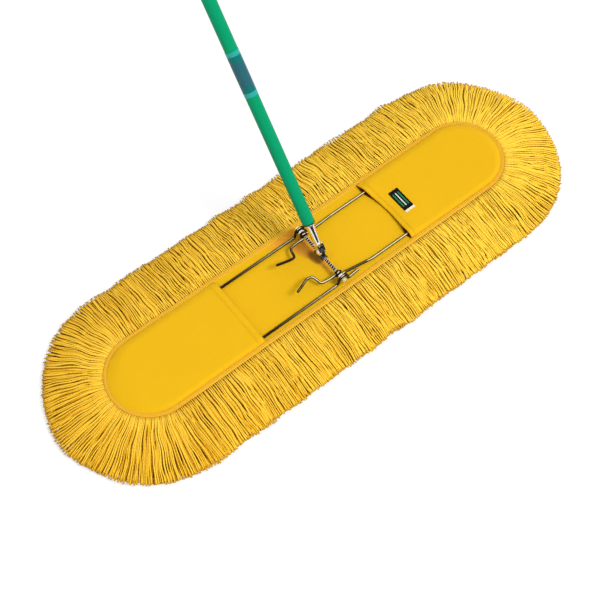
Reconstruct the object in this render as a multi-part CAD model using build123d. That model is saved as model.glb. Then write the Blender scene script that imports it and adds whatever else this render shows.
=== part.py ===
from build123d import *
import math
import os

# Yarn dust mop on a wire frame. Millimetres, X along the head, Y across it along the cross axle, Z up.
# The origin is on the floor under the middle of the cross axle.

# Mop head
backing_length = 897.0
backing_width = 168.0
fringe_length = 117.0
fringe_tip_height = 10.0
fringe_shoulder = 6.0
pile_height = 30.0
canvas_thickness = 3.0
binding_width = 9.0
binding_thickness = 1.2
fold_line = 105.0
frame_offset = 14.5
frame_shift = 5.5

# Pockets that hold the frame's two ends
pocket_mouth = 170.0
pocket_cloth = 1.5
pocket_edge_gap = 0.5
pocket_slope = 2.4
pocket_room = 1.0
pocket_crown = 1.5
shoulder_spread = 0.5
mouth_bow = 5.0
bow_length = 110.0

# Sewn label on the right pocket
label_from_mouth = 30.0
label_length = 22.0
label_width = 48.5
label_thickness = 0.8
label_tab_width = 5.0
label_offset = 4.5

# Wire frame
wire_diameter = 5.0
wire_sides = 10
wire_over_canvas = 0.5
arm_room = 1.4
arm_stagger = 4.0
frame_end_inset = 44.5
frame_corner_radius = 44.0
bend_radius = 7.0
axle_over_arms = 12.5
arch_width = 18.8
arch_flat = 0.1
tail_length = 40.0
tail_draw_in = 2.4
arm_cut_from_end = 106.0
ramp_foot = 74.0
ramp_top = 12.0
ramp_foot_radius = 40.0
ramp_top_radius = 25.0
eye_inset = 10.0
eye_gap = 0.5

# Finger levers, the far ends of the right arms
lever_knee = 36.0
lever_knee_draw_in = 2.0
lever_jog = 41.0
lever_jog_spacing = 50.0
lever_flat = 12.0
near_tip = 86.0
near_tip_place = 39.0
far_tip = 82.0
far_tip_place = 28.5
lever_knee_rise = 1.4
lever_jog_rise = 3.2
lever_flat_rise = 6.0
lever_tip_rise = 13.8

# Cross axle, collars, nuts and springs
axle_diameter = 5.0
running_fit = 0.08
collar_proud = 0.1
collar_fit = 0.05
nut_diameter = 11.0
nut_length = 6.0
nut_dome = 2.0
washer_diameter = 10.0
washer_thickness = 0.8
washer_gap = 0.1
spring_wire = 1.3
spring_sides = 4
spring_room = 0.5
spring_turns = 7
spring_lead = 2.2

# Swivel block on the axle, and the fork that is riveted to it
block_length = 24.0
block_diameter = 13.0
rivet_over_axle = 13.0
rivet_diameter = 5.0
tongue_thickness = 7.0
knuckle_radius = 7.0
cheek_thickness = 3.0
cheek_gap = 0.3
fork_throat = 16.0
fork_bridge = 5.0
rivet_washer_diameter = 11.0
rivet_washer_thickness = 1.0
rivet_head_diameter = 9.0
rivet_head_height = 2.4
ferrule_diameter = 15.0
ferrule_neck = 12.4
ferrule_taper_end = 56.0
ferrule_wall = 1.5
ferrule_length = 128.0

# Handle, measured along itself from the rivet
handle_lean = 36.6
handle_diameter = 23.8
handle_wall = 0.7
plug_start = 62.0
plug_flange = 2.5
plug_length = 58.0
slip_fit = 0.1
coupling_start = 328.0
coupling_ring_length = 20.0
coupling_sleeve_length = 46.0
coupling_proud = 0.4
spigot_reach = 70.0
spigot_wall = 2.4
upper_tube_end = 1330.0
grip_length = 130.0
grip_wall = 2.6
grip_end_land = 15.0
grip_groove_depth = 0.8
grip_groove_width = 5.0
grip_groove_pitch = 25.0
cap_shank = 40.0
cap_flange = 4.0
hanger_length = 34.0
hanger_thickness = 9.0
hanger_hole = 9.0

# Heights and places that follow from the sizes above
half_width = backing_width / 2
straight_end = backing_length / 2 - half_width
canvas_top = pile_height + canvas_thickness
wire_radius = wire_diameter / 2
pocket_foot = half_width - binding_width - pocket_edge_gap - pocket_cloth
pocket_shoulder = pocket_foot - pocket_slope
pocket_height = wire_over_canvas + wire_diameter + pocket_room
arm_height = canvas_top + wire_over_canvas + wire_radius
axle_height = arm_height + axle_over_arms
rivet_height = axle_height + rivet_over_axle
frame_end = backing_length / 2 - frame_end_inset
arm_cut = frame_end - arm_cut_from_end
left_arm = pocket_foot - arm_room - wire_radius - frame_shift
right_arm = left_arm - arm_stagger
coil_radius = axle_diameter / 2 + running_fit + wire_radius
coil_outer = left_arm - eye_inset
coil_inner = coil_outer - wire_diameter - eye_gap
coil_bottom = axle_height - coil_radius
lever_washer_place = coil_inner - wire_radius - washer_gap - washer_thickness
block_washer_place = block_length / 2 + washer_gap
spring_start = block_washer_place + washer_thickness + washer_gap
spring_end = lever_washer_place - washer_gap
spring_radius = axle_diameter / 2 + spring_room + spring_wire / 2
arch_radius = arch_width / 2
collar_radius = arch_radius - wire_radius - collar_fit
collar_start = coil_outer + wire_radius + eye_gap
collar_length = left_arm + wire_radius + collar_proud - collar_start
nut_start = collar_start + collar_length + washer_gap
tube_bore = handle_diameter / 2 - handle_wall
sleeve_start = coupling_start + coupling_ring_length
upper_ring_start = sleeve_start + coupling_sleeve_length
upper_tube_start = upper_ring_start + coupling_ring_length
grip_radius = handle_diameter / 2 + grip_wall


def across_at(place):
    """The plane across the head at a place along it, with the far side to its right."""
    return Plane((place, 0, 0), x_dir=(0, 1, 0), z_dir=(1, 0, 0))


def head_half(profile, start):
    """Carries a profile of (distance from the middle line, height) along the head and round its end."""
    far_rail = extrude(across_at(start) * profile, straight_end - start)
    near_rail = mirror(far_rail, about=Plane.XZ)
    end = revolve(across_at(straight_end) * profile, Axis((straight_end, 0, 0), (0, 0, -1)), 180)
    return far_rail + near_rail + end


def both_halves(profile):
    """The left and right halves of a part of the head, which meet at the line where the cloth bends."""
    return mirror(head_half(profile, -fold_line), about=Plane.YZ), head_half(profile, fold_line)


def ring(outer, inner, start, length):
    """A tube along Z."""
    return Pos(0, 0, start) * extrude(Circle(outer) - Circle(inner), length)


def across_head(shape, place):
    """Lays a shape that was made along Z on the cross axle, starting at place on the far side."""
    return Pos(0, place, axle_height) * Rot(-90, 0, 0) * shape


def near_and_far(shape):
    return [mirror(shape, about=Plane.XZ), shape]


def arc_pair(start, start_way, end, end_way):
    """Two arcs from start to end that leave and arrive in the ways given."""
    chord = end - start
    both = start_way + end_way
    square = both.dot(both) - 4
    linear = -2 * chord.dot(both)
    reach = (-linear - math.sqrt(linear**2 - 4 * square * chord.dot(chord))) / (2 * square)
    first = start + start_way * reach
    second = end - end_way * reach
    middle = (first + second) / 2
    return [
        TangentArc(start, middle, tangent=start_way),
        TangentArc(middle, end, tangent=second - first),
    ]


def on_coil(radius, quarter, place):
    """A point round the axle, and the way a right-hand coil runs there, by quarter turns from the bottom."""
    angle = math.radians(-90 * (1 + quarter))
    point = Vector(radius * math.cos(angle), place, axle_height + radius * math.sin(angle))
    return point, Vector(math.sin(angle), 0, -math.cos(angle))


def coil(radius, turns, start, end, ends_flat):
    """Arcs of a quarter turn each, from start to end along the axle, whose first and last ways can be flat."""
    quarters = 4 * turns
    climb = (end - start) / (2 * math.pi * radius * turns)
    stations = []
    for quarter in range(quarters + 1):
        point, way = on_coil(radius, quarter, start + (end - start) * quarter / quarters)
        flat = ends_flat and quarter in (0, quarters)
        stations.append((point, way if flat else (way + Vector(0, climb, 0)).normalized()))
    edges = []
    for here, there in zip(stations, stations[1:]):
        edges += arc_pair(*here, *there)
    return edges, stations


def bent_wire(edges, diameter, sides):
    """A wire along edges that follow each other smoothly, its round drawn with a number of narrow sides."""
    path = Wire(edges, sequenced=True)
    return sweep(Plane(path @ 0, z_dir=path % 0) * RegularPolygon(diameter / 2, sides), path=path, clean=False)


def least_gap(name, edges, diameter, own_diameters=2.5):
    """Prints the least gap of a bar to itself, on points a diameter apart, past its own next stretch."""
    path = Wire(edges, sequenced=True)
    count = round(path.length / diameter)
    points = [path @ (step / count) for step in range(count + 1)]
    apart = math.ceil(own_diameters)
    gap = min((a - b).length for i, a in enumerate(points) for b in points[i + apart :]) - diameter
    print(f"{name}: least gap to itself {gap:.2f} mm")


def cloth_section(place, crown, inside, outside):
    """A pocket's cross section at a place along the head, between two offsets from its inner face."""

    def over(offset):
        side_z = canvas_top + pocket_height + offset
        return pocket_foot + offset, pocket_shoulder + shoulder_spread * offset, side_z, side_z + crown

    foot_in, side_in, low_in, top_in = over(inside)
    foot_out, side_out, low_out, top_out = over(outside)
    lines = [
        Line((-foot_out, canvas_top), (-side_out, low_out)),
        ThreePointArc((-side_out, low_out), (0, top_out), (side_out, low_out)),
        Line((side_out, low_out), (foot_out, canvas_top)),
        Line((foot_out, canvas_top), (foot_in, canvas_top)),
        Line((foot_in, canvas_top), (side_in, low_in)),
        ThreePointArc((side_in, low_in), (0, top_in), (-side_in, low_in)),
        Line((-side_in, low_in), (-foot_in, canvas_top)),
        Line((-foot_in, canvas_top), (-foot_out, canvas_top)),
    ]
    return across_at(place) * make_face(lines)


def pocket(bow, inside, outside):
    """A pocket's cloth on the right-hand side, with its mouth bowed up in the middle."""
    bow_end = pocket_mouth + bow_length
    mouth = cloth_section(pocket_mouth, pocket_crown + bow, inside, outside)
    flat = cloth_section(bow_end, pocket_crown, inside, outside)
    end_face = cloth_section(straight_end, pocket_crown, inside, outside)
    far_side = Pos(straight_end, half_width, canvas_top) * Box(backing_width, backing_width, backing_width)
    end = revolve(end_face & far_side, Axis((straight_end, 0, 0), (0, 0, -1)), 180)
    return loft([mouth, flat], ruled=True) + extrude(flat, straight_end - bow_end) + end


def head_parts():
    """Canvas backing, binding tape, yarn and pockets, in left and right halves, and the label."""
    rim = half_width + binding_thickness
    tips = half_width + fringe_length
    canvas = Polygon(
        (0, pile_height),
        (half_width, pile_height),
        (half_width, canvas_top),
        (0, canvas_top),
        align=None,
    )
    binding = Polygon(
        (half_width - binding_width, canvas_top),
        (half_width, canvas_top),
        (half_width, pile_height),
        (rim, pile_height),
        (rim, canvas_top + binding_thickness),
        (half_width - binding_width, canvas_top + binding_thickness),
        align=None,
    )
    yarn = Polygon(
        (0, 0),
        (tips, 0),
        (tips, fringe_tip_height),
        (half_width + fringe_shoulder, pile_height),
        (0, pile_height),
        align=None,
    )
    parts = {}
    for name, profile in (("canvas", canvas), ("binding", binding), ("yarn", yarn)):
        parts[name + "_left"], parts[name + "_right"] = both_halves(profile)
    parts["pocket_left"] = mirror(pocket(0, 0, pocket_cloth), about=Plane.YZ)
    parts["pocket_right"] = pocket(mouth_bow, 0, pocket_cloth)
    on_pocket = pocket(mouth_bow, pocket_cloth, pocket_cloth + label_thickness)
    label_x = pocket_mouth + label_from_mouth + label_length / 2
    label_y = label_tab_width / 2 - label_offset
    tab_y = label_y - (label_width + label_tab_width) / 2
    for name, y, width in (("label", label_y, label_width), ("label_tab", tab_y, label_tab_width)):
        parts[name] = on_pocket & Pos(label_x, y, axle_height) * Box(label_length, width, axle_height)
    return {name: Pos(-frame_offset, frame_shift, 0) * shape for name, shape in parts.items()}


def left_wire():
    """The left wire, whose arms arch over the axle's collars and end in tails beside the right arms."""
    arch_top = axle_height + arch_radius
    side = [
        (tail_length, left_arm - tail_draw_in, arm_height),
        (arch_radius, left_arm, arm_height),
        (arch_radius, left_arm, arch_top),
        (-arch_radius, left_arm, arch_top),
        (-arch_radius, left_arm, arm_height),
        (-frame_end, left_arm, arm_height),
    ]
    arch_bend = arch_radius - arch_flat / 2
    bends = [bend_radius, arch_bend, arch_bend, bend_radius, frame_corner_radius]
    points = side + [(x, -y, z) for x, y, z in reversed(side)]
    return bent_wire(FilletPolyline(*points, radius=bends + bends[::-1]).edges(), wire_diameter, wire_sides)


def right_wire_end():
    """The end of the right wire, cut inside its pocket from the arms, so that each arm can be squeezed in."""
    side = [(arm_cut, right_arm, arm_height), (frame_end, right_arm, arm_height)]
    points = side + [(x, -y, z) for x, y, z in reversed(side)]
    return bent_wire(FilletPolyline(*points, radius=frame_corner_radius).edges(), wire_diameter, wire_sides)


def right_arm_wire(tip, tip_place):
    """A right arm, as on the far side: up a ramp, one turn round the axle, and on as a finger lever."""
    arm = FilletPolyline(
        (arm_cut, right_arm, arm_height),
        (ramp_foot, right_arm, arm_height),
        (ramp_top, coil_outer, coil_bottom),
        (0, coil_outer, coil_bottom),
        radius=[ramp_foot_radius, ramp_top_radius],
    )
    eye, _ = coil(coil_radius, 1, coil_outer, coil_inner, True)
    lever = FilletPolyline(
        (0, coil_inner, coil_bottom),
        (-lever_knee / 2, coil_inner, coil_bottom),
        (-lever_knee, coil_inner - lever_knee_draw_in, coil_bottom + lever_knee_rise),
        (-lever_jog, lever_jog_spacing / 2, coil_bottom + lever_jog_rise),
        (-lever_jog - lever_flat, lever_jog_spacing / 2, coil_bottom + lever_flat_rise),
        (-tip, tip_place, coil_bottom + lever_tip_rise),
        radius=bend_radius,
    )
    edges = [*arm.edges(), *eye, *lever.edges()]
    least_gap("right arm", edges, wire_diameter)
    return bent_wire(edges, wire_diameter, wire_sides)


def frame_parts():
    """The two wires of the frame."""
    near_arm, _ = near_and_far(right_arm_wire(near_tip, near_tip_place))
    _, far_arm = near_and_far(right_arm_wire(far_tip, far_tip_place))
    return {
        "left_wire": left_wire(),
        "right_wire_end": right_wire_end(),
        "right_arm_near": near_arm,
        "right_arm_far": far_arm,
    }


def spring_far():
    """The far spring, whose ends run straight onto its washers."""
    start = spring_start + spring_wire
    end = spring_end - spring_wire
    along = Vector(0, 1, 0)
    body, stations = coil(spring_radius, spring_turns, start + spring_lead, end - spring_lead, False)
    first, _ = on_coil(spring_radius, -1, start)
    last, _ = on_coil(spring_radius, 4 * spring_turns + 1, end)
    edges = [
        Line(first - along * spring_wire, first),
        *arc_pair(first, along, *stations[0]),
        *body,
        *arc_pair(*stations[-1], last, along),
        Line(last, last + along * spring_wire),
    ]
    least_gap("spring", edges, spring_wire)
    return bent_wire(edges, spring_wire, spring_sides)


def axle_parts():
    """The cross axle with its collars, nuts, washers and springs."""
    bore = axle_diameter / 2 + running_fit
    axle_end = nut_start + nut_length - nut_dome
    collar = across_head(ring(collar_radius, bore, 0, collar_length), collar_start)
    nut_radius = nut_diameter / 2
    nut_profile = Polygon(
        (0, 0),
        (nut_radius, 0),
        (nut_radius, nut_length - nut_dome),
        (nut_radius - nut_dome, nut_length),
        (0, nut_length),
        align=None,
    )
    nut = revolve(Plane.XZ * nut_profile, Axis.Z, 360)
    nut -= extrude(Circle(bore), axle_end - nut_start + running_fit)
    washer = ring(washer_diameter / 2, bore, 0, washer_thickness)
    lever_washers = near_and_far(across_head(washer, lever_washer_place))
    springs = near_and_far(spring_far())
    return {
        "axle": across_head(Cylinder(axle_diameter / 2, 2 * axle_end), 0),
        "axle_collars": Compound(children=near_and_far(collar)),
        "axle_nuts": Compound(children=near_and_far(across_head(nut, nut_start))),
        "block_washers": Compound(children=near_and_far(across_head(washer, block_washer_place))),
        "lever_washer_near": lever_washers[0],
        "lever_washer_far": lever_washers[1],
        "spring_near": springs[0],
        "spring_far": springs[1],
    }


def swivel_block():
    """A barrel on the axle with an upright tongue that takes the rivet."""
    barrel = across_head(Cylinder(block_diameter / 2, block_length), 0)
    knuckle = Pos(0, rivet_over_axle) * Circle(knuckle_radius)
    stem = Pos(0, rivet_over_axle / 2) * Rectangle(2 * knuckle_radius, rivet_over_axle)
    tongue = extrude(across_at(-tongue_thickness / 2) * (knuckle + stem), tongue_thickness)
    axle_bore = across_head(Cylinder(axle_diameter / 2 + running_fit, 2 * block_length), 0)
    rivet_bore = Rot(0, 90, 0) * Cylinder(rivet_diameter / 2 + running_fit, 2 * block_length)
    return barrel + Pos(0, 0, axle_height) * tongue - axle_bore - Pos(0, 0, rivet_height) * rivet_bore


def fork():
    """A tapered tube whose lower end is a fork over the swivel block's tongue, made along Z from the rivet."""
    outline = Circle(knuckle_radius) + Pos(0, fork_throat / 2) * Rectangle(2 * knuckle_radius, fork_throat)
    cheek = extrude(across_at(tongue_thickness / 2 + cheek_gap) * outline, cheek_thickness)
    radius = ferrule_diameter / 2
    neck = ferrule_neck / 2
    bridge_top = fork_throat + fork_bridge
    profile = Polygon(
        (0, fork_throat),
        (neck, fork_throat),
        (radius, ferrule_taper_end),
        (radius, ferrule_length),
        (radius - ferrule_wall, ferrule_length),
        (radius - ferrule_wall, ferrule_taper_end),
        (neck - ferrule_wall, bridge_top),
        (0, bridge_top),
        align=None,
    )
    tube = revolve(Plane.XZ * profile, Axis.Z, 360)
    hole = Rot(0, 90, 0) * Cylinder(rivet_diameter / 2 + running_fit, 2 * ferrule_diameter)
    return cheek + mirror(cheek, about=Plane.YZ) + tube - hole


def rivet_parts():
    """The rivet through the fork and the tongue, and a washer under each of its domed heads."""
    washer_start = tongue_thickness / 2 + cheek_gap + cheek_thickness
    head_start = washer_start + rivet_washer_thickness
    head_top = head_start + rivet_head_height
    shank = rivet_diameter / 2
    head = rivet_head_diameter / 2
    dome_radius = (head**2 + rivet_head_height**2) / (2 * rivet_head_height)
    outline = [
        Polyline((0, head_top), (0, 0), (shank, 0), (shank, head_start), (head, head_start)),
        RadiusArc((head, head_start), (0, head_top), -dome_radius),
    ]
    half = Rot(0, 90, 0) * revolve(Plane.XZ * make_face(outline), Axis.Z, 360)
    washer = ring(rivet_washer_diameter / 2, shank + running_fit, washer_start, rivet_washer_thickness)
    right_washer = Rot(0, 90, 0) * washer
    washers = [right_washer, mirror(right_washer, about=Plane.YZ)]
    return {"fork_rivet": half + mirror(half, about=Plane.YZ), "rivet_washers": Compound(children=washers)}


def grip():
    """A sleeve on the handle's top end with shallow grooves round it."""
    start = upper_tube_end - grip_length
    sleeve = ring(grip_radius, handle_diameter / 2 + slip_fit, start, grip_length)
    count = int((grip_length - 2 * grip_end_land) / grip_groove_pitch) + 1
    for index in range(count):
        place = start + grip_end_land + grip_groove_pitch * index
        sleeve -= ring(2 * grip_radius, grip_radius - grip_groove_depth, place, grip_groove_width)
    return fillet(sleeve.edges().group_by(Axis.Z)[0].sort_by(SortBy.RADIUS)[-1:], grip_wall / 2)


def end_cap():
    """A plug in the handle's top end, with a flat tongue and a hole to hang the mop by."""
    flange = Pos(0, 0, upper_tube_end + cap_flange / 2) * Cylinder(grip_radius, cap_flange)
    shank = Pos(0, 0, upper_tube_end - cap_shank / 2) * Cylinder(tube_bore - slip_fit, cap_shank)
    tongue_radius = tube_bore - slip_fit
    rise = hanger_length - tongue_radius
    outline = Pos(0, rise / 2) * Rectangle(2 * tongue_radius, rise) + Pos(0, rise) * Circle(tongue_radius)
    outline -= Pos(0, rise) * Circle(hanger_hole / 2)
    tongue = extrude(across_at(-hanger_thickness / 2) * outline, hanger_thickness)
    return flange + shank + Pos(0, 0, upper_tube_end + cap_flange) * tongue


def handle_parts():
    """Fork, rivet and handle, made upright from the rivet and then leaned over to the far side."""
    outer = handle_diameter / 2
    proud = outer + coupling_proud
    inner_fit = tube_bore - slip_fit
    tube_start = plug_start + plug_flange
    plug_bore = ferrule_diameter / 2 + slip_fit
    plug = ring(outer, plug_bore, plug_start, plug_flange) + ring(inner_fit, plug_bore, tube_start, plug_length)
    spigot_start = coupling_start - spigot_reach
    spigot_length = upper_tube_start + spigot_reach - spigot_start
    parts = {
        "fork_ferrule": fork(),
        **rivet_parts(),
        "handle_end_plug": plug,
        "handle_lower_tube": ring(outer, tube_bore, tube_start, coupling_start - tube_start),
        "coupling_ring_lower": ring(proud, tube_bore, coupling_start, coupling_ring_length),
        "coupling_sleeve": ring(proud, tube_bore, sleeve_start, coupling_sleeve_length),
        "coupling_ring_upper": ring(proud, tube_bore, upper_ring_start, coupling_ring_length),
        "coupling_spigot": ring(inner_fit, inner_fit - spigot_wall, spigot_start, spigot_length),
        "handle_upper_tube": ring(outer, tube_bore, upper_tube_start, upper_tube_end - upper_tube_start),
        "handle_grip": grip(),
        "handle_end_cap": end_cap(),
    }
    lean = Location((0, 0, rivet_height), (-handle_lean, 0, 0))
    return {name: lean * shape for name, shape in parts.items()}


def main():
    os.makedirs("parts", exist_ok=True)
    parts = {**head_parts(), **frame_parts(), **axle_parts(), "swivel_block": swivel_block(), **handle_parts()}
    for name, shape in parts.items():
        export_step(shape, f"parts/{name}.step")
    print(len(parts), "nodes written")


main()
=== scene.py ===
import math

import bpy
import numpy as np
from mathutils import Euler, Matrix, Vector


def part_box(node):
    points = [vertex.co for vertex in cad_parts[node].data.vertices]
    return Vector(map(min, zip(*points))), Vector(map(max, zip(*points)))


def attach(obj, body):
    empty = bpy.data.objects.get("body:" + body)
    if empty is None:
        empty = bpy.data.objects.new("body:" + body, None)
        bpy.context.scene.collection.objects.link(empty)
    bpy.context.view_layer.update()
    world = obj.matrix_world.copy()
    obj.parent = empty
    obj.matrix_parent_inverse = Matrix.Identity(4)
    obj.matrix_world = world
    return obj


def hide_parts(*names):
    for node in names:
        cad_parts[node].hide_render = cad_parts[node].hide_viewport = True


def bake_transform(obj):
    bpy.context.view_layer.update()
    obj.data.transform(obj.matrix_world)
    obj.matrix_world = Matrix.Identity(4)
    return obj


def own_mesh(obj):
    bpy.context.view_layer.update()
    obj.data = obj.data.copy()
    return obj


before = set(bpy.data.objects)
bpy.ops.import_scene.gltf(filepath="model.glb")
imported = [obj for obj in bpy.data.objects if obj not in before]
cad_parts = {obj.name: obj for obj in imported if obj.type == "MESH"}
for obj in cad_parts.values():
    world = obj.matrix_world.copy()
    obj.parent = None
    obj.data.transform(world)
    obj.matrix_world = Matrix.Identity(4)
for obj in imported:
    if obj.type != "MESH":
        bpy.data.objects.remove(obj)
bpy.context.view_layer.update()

bl_info = {
    "name": "Yarn dust mop",
    "version": (1, 0, 0),
    "blender": (4, 5, 0),
    "location": "3D View > Sidebar > Mop",
    "description": "Builds a wire-framed yarn dust mop round its packed model",
    "category": "Add Mesh",
}

MM = 0.001

# Places read from the packed model, in metres.
CANVAS_LEFT, CANVAS_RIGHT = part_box("canvas_left"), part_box("canvas_right")
POCKET_LEFT, POCKET_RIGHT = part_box("pocket_left"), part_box("pocket_right")
LOWER_TUBE, UPPER_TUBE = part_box("handle_lower_tube"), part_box("handle_upper_tube")
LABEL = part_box("label")
HALF_WIDTH = (CANVAS_LEFT[1].y - CANVAS_LEFT[0].y) / 2
MIDDLE_Y = (CANVAS_LEFT[1].y + CANVAS_LEFT[0].y) / 2
CANVAS_UNDER, CANVAS_TOP = CANVAS_LEFT[0].z, CANVAS_LEFT[1].z
LEFT_CENTRE = CANVAS_LEFT[0].x + HALF_WIDTH
RIGHT_CENTRE = CANVAS_RIGHT[1].x - HALF_WIDTH
STRAIGHT = RIGHT_CENTRE - LEFT_CENTRE
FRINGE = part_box("yarn_left")[1].y - CANVAS_LEFT[1].y
AXLE_HEIGHT = sum(corner.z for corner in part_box("axle")) / 2
RIVET_HEIGHT = sum(corner.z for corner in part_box("fork_rivet")) / 2
HANDLE_WAY = (UPPER_TUBE[0] + UPPER_TUBE[1] - LOWER_TUBE[0] - LOWER_TUBE[1]).normalized()

# The turn from the middle of a round end where a sheet of cloth stops, so that its last faces keep a width.
END_TURN = math.radians(88)

# Half the width of a pocket, the wires' distance from the middle of the frame, and the pockets' slow waves.
POCKET_EDGE = HALF_WIDTH - 6 * MM
WIRE_Y = 59.6 * MM
POCKET_RIPPLE = 0.3 * MM
# How far in from its edge a pocket has risen, and what the far side and the left and right ends add to that.
RISE_REACH, FAR_REACH, LEFT_REACH, RIGHT_REACH = 13 * MM, 4 * MM, 30 * MM, 6 * MM
# How far the right mouth's flare at the wires and its scoop run into the pocket, and a flare's width.
FLARE_REACH, SCOOP_REACH, FLARE_WIDTH = 45 * MM, 60 * MM, 13 * MM

# Painted shadows on the backing: the middle, half length and slant of the warm brown painted shadow under
# the axle, and the place and reach of the painted shadow beside the far arch and of the one beside the
# swivel.
AXLE_SHADOW_MIDDLE, AXLE_SHADOW_REACH, AXLE_SHADOW_SLANT = 14 * MM, 58 * MM, 22 * MM
ARCH_SHADOW_PLACE, ARCH_SHADOW_REACH = (-26 * MM, 76 * MM), (38 * MM, 13 * MM)
SWIVEL_SHADOW_PLACE, SWIVEL_SHADOW_REACH = (-8 * MM, 9 * MM), (9 * MM, 17 * MM)

# Distance along the handle from a coupling ring's middle to its band.
RING_BAND = 1.4 * MM


def colour_prop(name, what, *default):
    """A setting that is a colour."""
    return bpy.props.FloatVectorProperty(
        name=name, description=f"Colour of {what}", subtype="COLOR", default=default, min=0, max=1)


def number_prop(name, description, default, **kind):
    """A setting that is a number."""
    return bpy.props.FloatProperty(name=name, description=description, default=default, **kind)


def length_prop(name, description, default):
    """A setting that is a length in metres."""
    return number_prop(name, description, default, unit="LENGTH")


def angle_prop(name, description, degrees):
    """A setting that is an angle."""
    return number_prop(name, description, math.radians(degrees), subtype="ANGLE")


def share_prop(name, description, default):
    """A setting that is a share of one."""
    return number_prop(name, description, default, subtype="FACTOR", min=0, max=1)


class HeadSettings(bpy.types.PropertyGroup):
    """Cloth of the mop head"""

    canvas_colour: colour_prop("Canvas", "the backing and pockets", 0.790, 0.447, 0.009)
    # Painted shade: the tape's edges darkened where it turns round the ends.
    crease_shade_colour: colour_prop("Creases", "the tape's puckered edges", 0.640, 0.265, 0.010)
    # Painted shadow: the dark brown spot beside the swivel, where the hub's shadow falls.
    swivel_shadow_colour: colour_prop("Oil mark", "the backing where the swivel's oil has dripped", 0.250, 0.105, 0.016)
    # Painted shadow: a warm brown tint of the backing under the axle and beside the far arch.
    warm_shadow_colour: colour_prop("Rub mark", "the backing under the axle", 0.840, 0.330, 0.034)
    # Painted shade: the backing inside the right pocket's mouth.
    pocket_shade_colour: colour_prop("Dust", "the backing inside the right pocket", 0.130, 0.038, 0.004)
    binding_colour: colour_prop("Binding", "the tape round the backing", 0.820, 0.465, 0.032)
    stitch_colour: colour_prop("Stitches", "the sewing thread", 0.700, 0.340, 0.024)
    thread_pitch: length_prop("Thread pitch", "Distance between the threads of the canvas", 0.9 * MM)
    canvas_thickness: length_prop("Canvas thickness", "Thickness of the backing", CANVAS_TOP - CANVAS_UNDER)
    pocket_thickness: length_prop("Pocket thickness", "Thickness of the pockets' cloth", 0.9 * MM)
    pocket_rise: length_prop("Pocket rise", "Height of a pocket over the backing", 6.4 * MM)
    pocket_crown: length_prop("Pocket crown", "Extra height in the middle of a pocket", 0.8 * MM)
    mouth_sag: length_prop("Mouth sag", "How far the right pocket's mouth sags in its middle", 4 * MM)
    mouth_flare: length_prop("Mouth flare", "How far that mouth is held up at the wires", 4 * MM)
    mouth_scoop: length_prop("Mouth scoop", "How far that mouth draws back in its middle", 6.2 * MM)
    mouth_skew: length_prop("Mouth skew", "How far that mouth is nearer the axle at its far end", 4 * MM)
    sag_reach: length_prop("Sag reach", "How far the sag runs into the right pocket", 110 * MM)
    label_ground: colour_prop("Label ground", "the label's ground", 0.004, 0.004, 0.004)
    label_mark: colour_prop("Label bars", "the label's bars", 0.018, 0.200, 0.075)
    label_line: colour_prop("Label line", "the label's line", 0.800, 0.800, 0.760)
    tab_colour: colour_prop("Tab", "the tab beside the label", 0.880, 0.800, 0.540)


class YarnSettings(bpy.types.PropertyGroup):
    """Yarn of the fringe and the underside"""

    light_colour: colour_prop("Light yarn", "the lightest strands", 1.000, 0.675, 0.056)
    dark_colour: colour_prop("Dark yarn", "the darkest strands", 0.840, 0.440, 0.012)
    # Painted highlight on the strands' upward faces.
    painted_highlight_colour: colour_prop("Crests", "the strands' rubbed crests", 1.000, 0.735, 0.095)
    tip_colour: colour_prop("Cut tips", "the cut ends", 0.640, 0.350, 0.026)
    # Painted shade: the pile's depth and the strands' sides and undersides.
    pile_shade_colour: colour_prop("Core", "the pile's depth", 0.600, 0.235, 0.005)
    fade: share_prop("Fade", "How much lighter the strands grow towards the right end", 0.26)
    strand: length_prop("Strand", "Diameter of a strand", 3.0 * MM)
    spacing: length_prop("Spacing", "Distance between strands along the binding", 3.8 * MM)
    length: length_prop("Length", "Length of the fringe", FRINGE)
    bunch: bpy.props.IntProperty(
        name="Bunch", description="Most strands that draw together in a bunch", default=2, min=1)
    pull: share_prop("Pull", "How far strands draw together in a bunch", 0.5)


class FrameSettings(bpy.types.PropertyGroup):
    """Wire frame, axle and springs"""

    wire: length_prop("Wire", "Diameter of the frame wire", 5 * MM)
    spring_wire: length_prop("Spring wire", "Diameter of the spring wire", 1.3 * MM)
    spring_turns: number_prop("Spring turns", "Turns of each spring", 7.0)
    wire_colour: colour_prop("Frame wire", "the plated frame wire", 1.000, 0.830, 0.510)
    # Painted shade: the wire's sides are darkened with this colour round a painted highlight band.
    wire_shade_colour: colour_prop("Tarnish", "the wire's sides, where the plating is dull", 0.016, 0.009, 0.005)
    plated_colour: colour_prop("Plated parts", "the plated nuts, collars and ferrule", 0.860, 0.850, 0.820)
    spring_colour: colour_prop("Springs", "the springs' plated wire", 1.000, 0.980, 0.930)
    block_colour: colour_prop("Swivel block", "the cast swivel block", 0.070, 0.068, 0.065)
    # A near-black axle; it is what shows dark between the spring's coils.
    axle_colour: colour_prop("Axle", "the oiled axle", 0.030, 0.029, 0.028)


class HandleSettings(bpy.types.PropertyGroup):
    """Handle"""

    paint_colour: colour_prop("Tube", "the painted tubes", 0.001, 0.290, 0.127)
    plug_colour: colour_prop("Plug", "the end plug and cap", 0.012, 0.013, 0.014)
    ring_colour: colour_prop("Rings", "the coupling's rings", 0.001, 0.145, 0.130)
    band_colour: colour_prop("Bands", "the rings' bands beside the tubes", 0.020, 0.340, 0.300)
    sleeve_colour: colour_prop("Sleeve", "the coupling's sleeve", 0.016, 0.110, 0.140)
    grip_colour: colour_prop("Grip", "the rubber grip", 0.016, 0.017, 0.018)


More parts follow.
